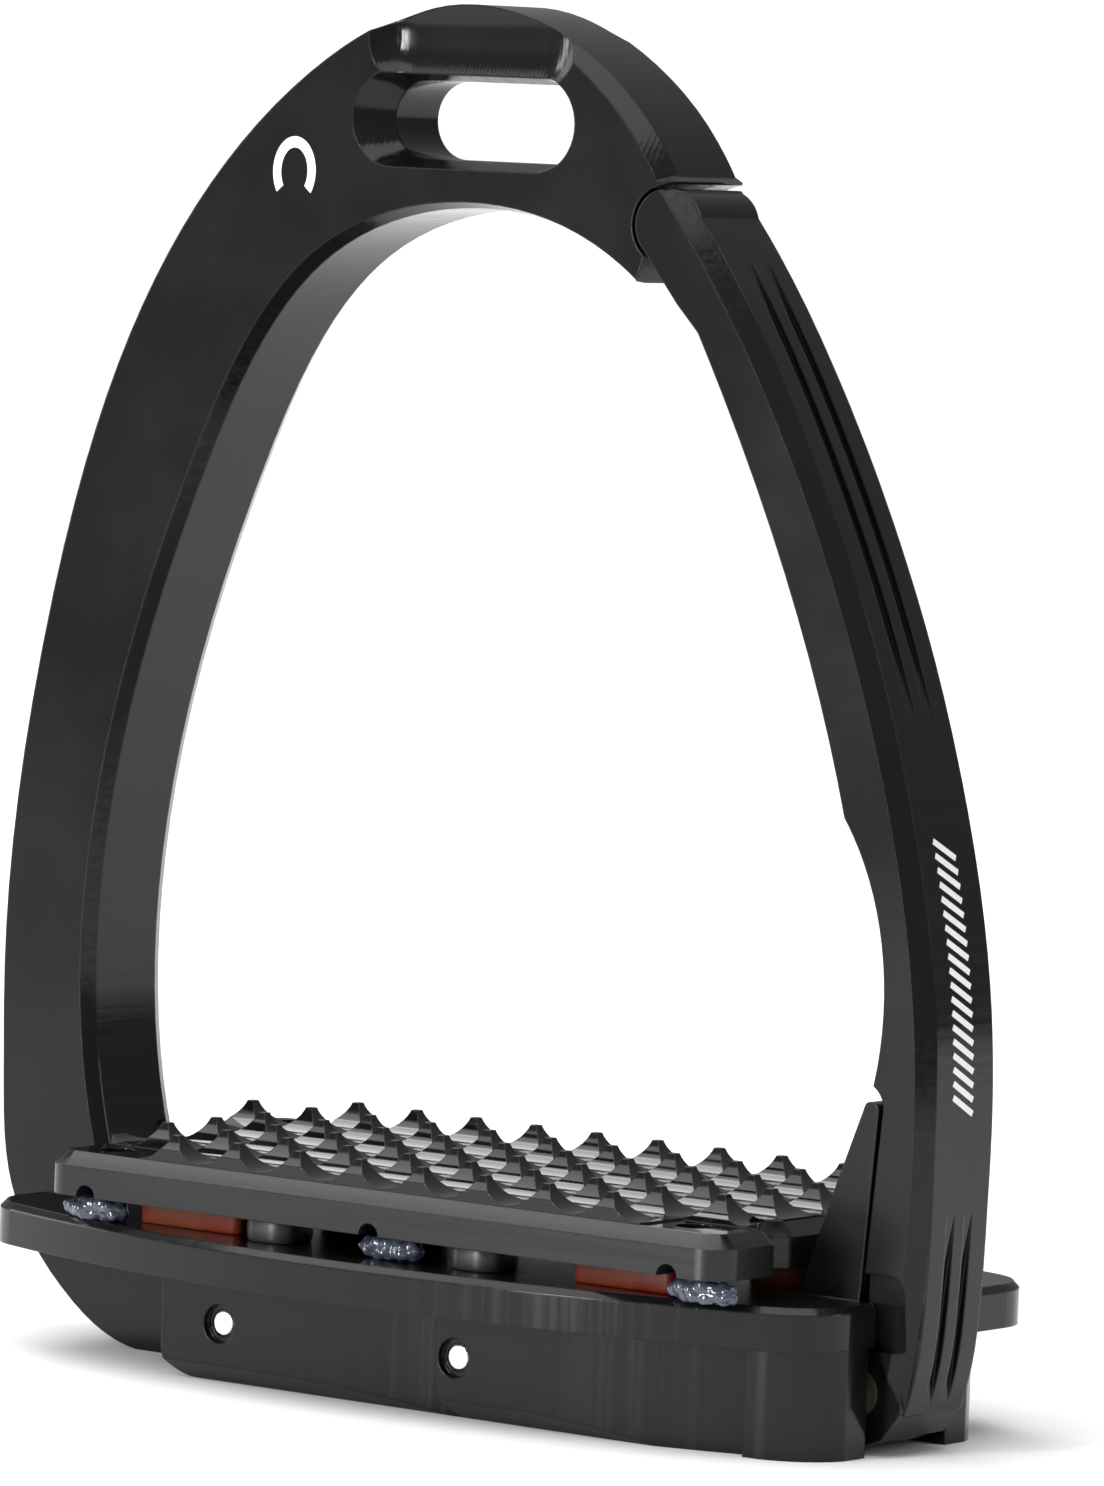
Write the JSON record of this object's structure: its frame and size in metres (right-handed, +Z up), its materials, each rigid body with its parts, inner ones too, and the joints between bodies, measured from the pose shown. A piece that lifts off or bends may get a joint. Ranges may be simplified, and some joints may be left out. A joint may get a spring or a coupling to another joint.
{
  "type": "stirrup iron",
  "caption": "Right-foot safety-release stirrup iron: milled bow with leather slot, sprung hinged outer arm, wide base and a spiked tread floating on four soft dampers.",
  "frame": {"origin": "on the ground under the middle of the foot opening, mid depth", "axes": "+Z up, +X towards the release arm on the rider's outside, +Y to the rear"},
  "size_m": [0.1426, 0.0675, 0.1695],
  "materials": {
    "black_anodised": "satin black anodised",
    "steel": "ground",
    "black_screw": "black oxide",
    "bronze": "sintered bearing metal",
    "nylon": "matte",
    "orange_elastomer": "satin polyurethane",
    "red_elastomer": "satin polyurethane",
    "grey_elastomer": "satin",
    "clear_gel": "clear glossy"
  },
  "bodies": {
    "frame": {"main_frame": "black_anodised", "pivot_pin": "steel", "thrust_washers": "nylon", "plunger_bush": "bronze", "plunger_spring": "steel", "spring_plug": "steel", "retaining_pin_left": "steel", "retaining_pin_right": "steel", "tread_screws": "black_screw", "damper_front_left": "orange_elastomer", "damper_rear_left": "orange_elastomer", "damper_front_right": "red_elastomer", "damper_rear_right": "red_elastomer", "bump_stops": "grey_elastomer", "shock_beads": "clear_gel"},
    "arm": {"release_arm": "black_anodised", "pivot_bush": "bronze"},
    "plunger": {"detent_plunger": "steel"},
    "tread": {"tread_plate": "black_anodised"}
  },
  "joints": [
    {"name": "arm_release", "type": "hinge", "parent": "frame", "child": "arm", "pos_m": [0.0575, 0, 0.0074], "axis": [0, 1, 0], "range_deg": [0, 70], "stiffness_Nm_per_rad": 0.3},
    {"name": "plunger_slide", "type": "slide", "parent": "frame", "child": "plunger", "axis": [-1, 0, 0], "range_m": [0, 0.00184], "deforming": ["plunger_spring"]},
    {"name": "tread_cushion", "type": "slide", "parent": "frame", "child": "tread", "axis": [0, 0, -1], "range_m": [0, 0.0012], "stiffness_N_per_m": 40000, "deforming": ["damper_front_left", "damper_rear_left", "damper_front_right", "damper_rear_right"]}
  ],
  "couplings": [
    {"joint": "plunger_slide", "follows": "arm_release", "m_per_rad": 0.0015}
  ]
}
